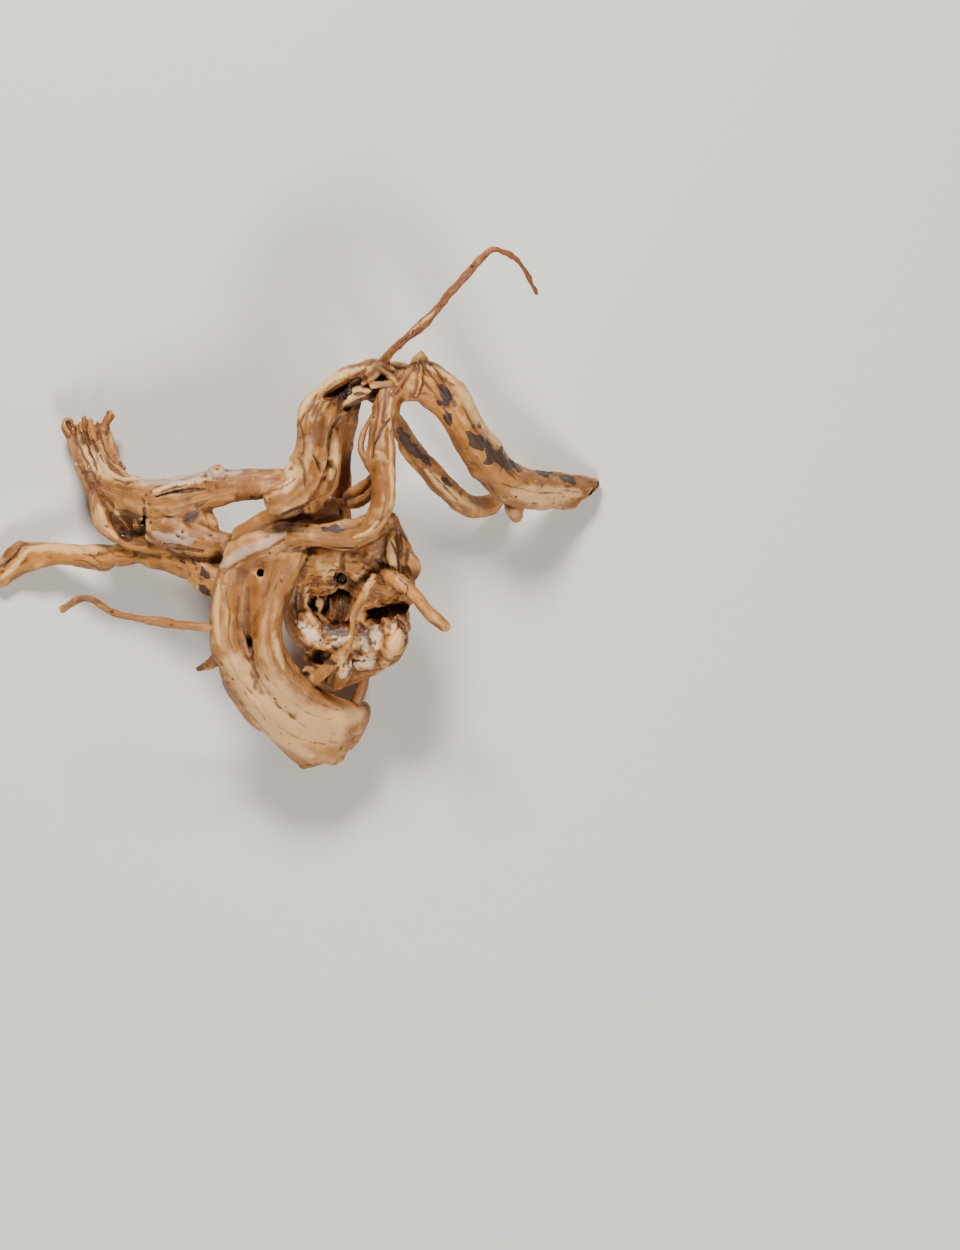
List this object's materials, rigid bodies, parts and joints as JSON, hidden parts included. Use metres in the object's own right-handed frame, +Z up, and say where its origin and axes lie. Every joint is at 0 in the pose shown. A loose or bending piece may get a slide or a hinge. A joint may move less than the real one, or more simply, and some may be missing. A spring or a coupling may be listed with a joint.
{
  "type": "spiderwood root",
  "caption": "Bare twisted azalea root: a forked trunk with a broken blade, a knotted lump, arching limbs and thin twigs, lying on a surface.",
  "frame": {"origin": "middle of the root's footprint, on the surface that it lies on", "axes": "+X from the curled limb's end towards the broken limb's end, +Y from the broken blade towards the frayed neck and the long twig, +Z up"},
  "size_m": [0.3074, 0.261, 0.1351],
  "materials": {
    "bare_root_wood": "bare weathered root wood, tan to honey brown with paler worn ridges and remains of dark purple-brown bark, matt to softly polished"
  },
  "bodies": {
    "root": {"spiderwood_root": "bare_root_wood"}
  },
  "joints": []
}
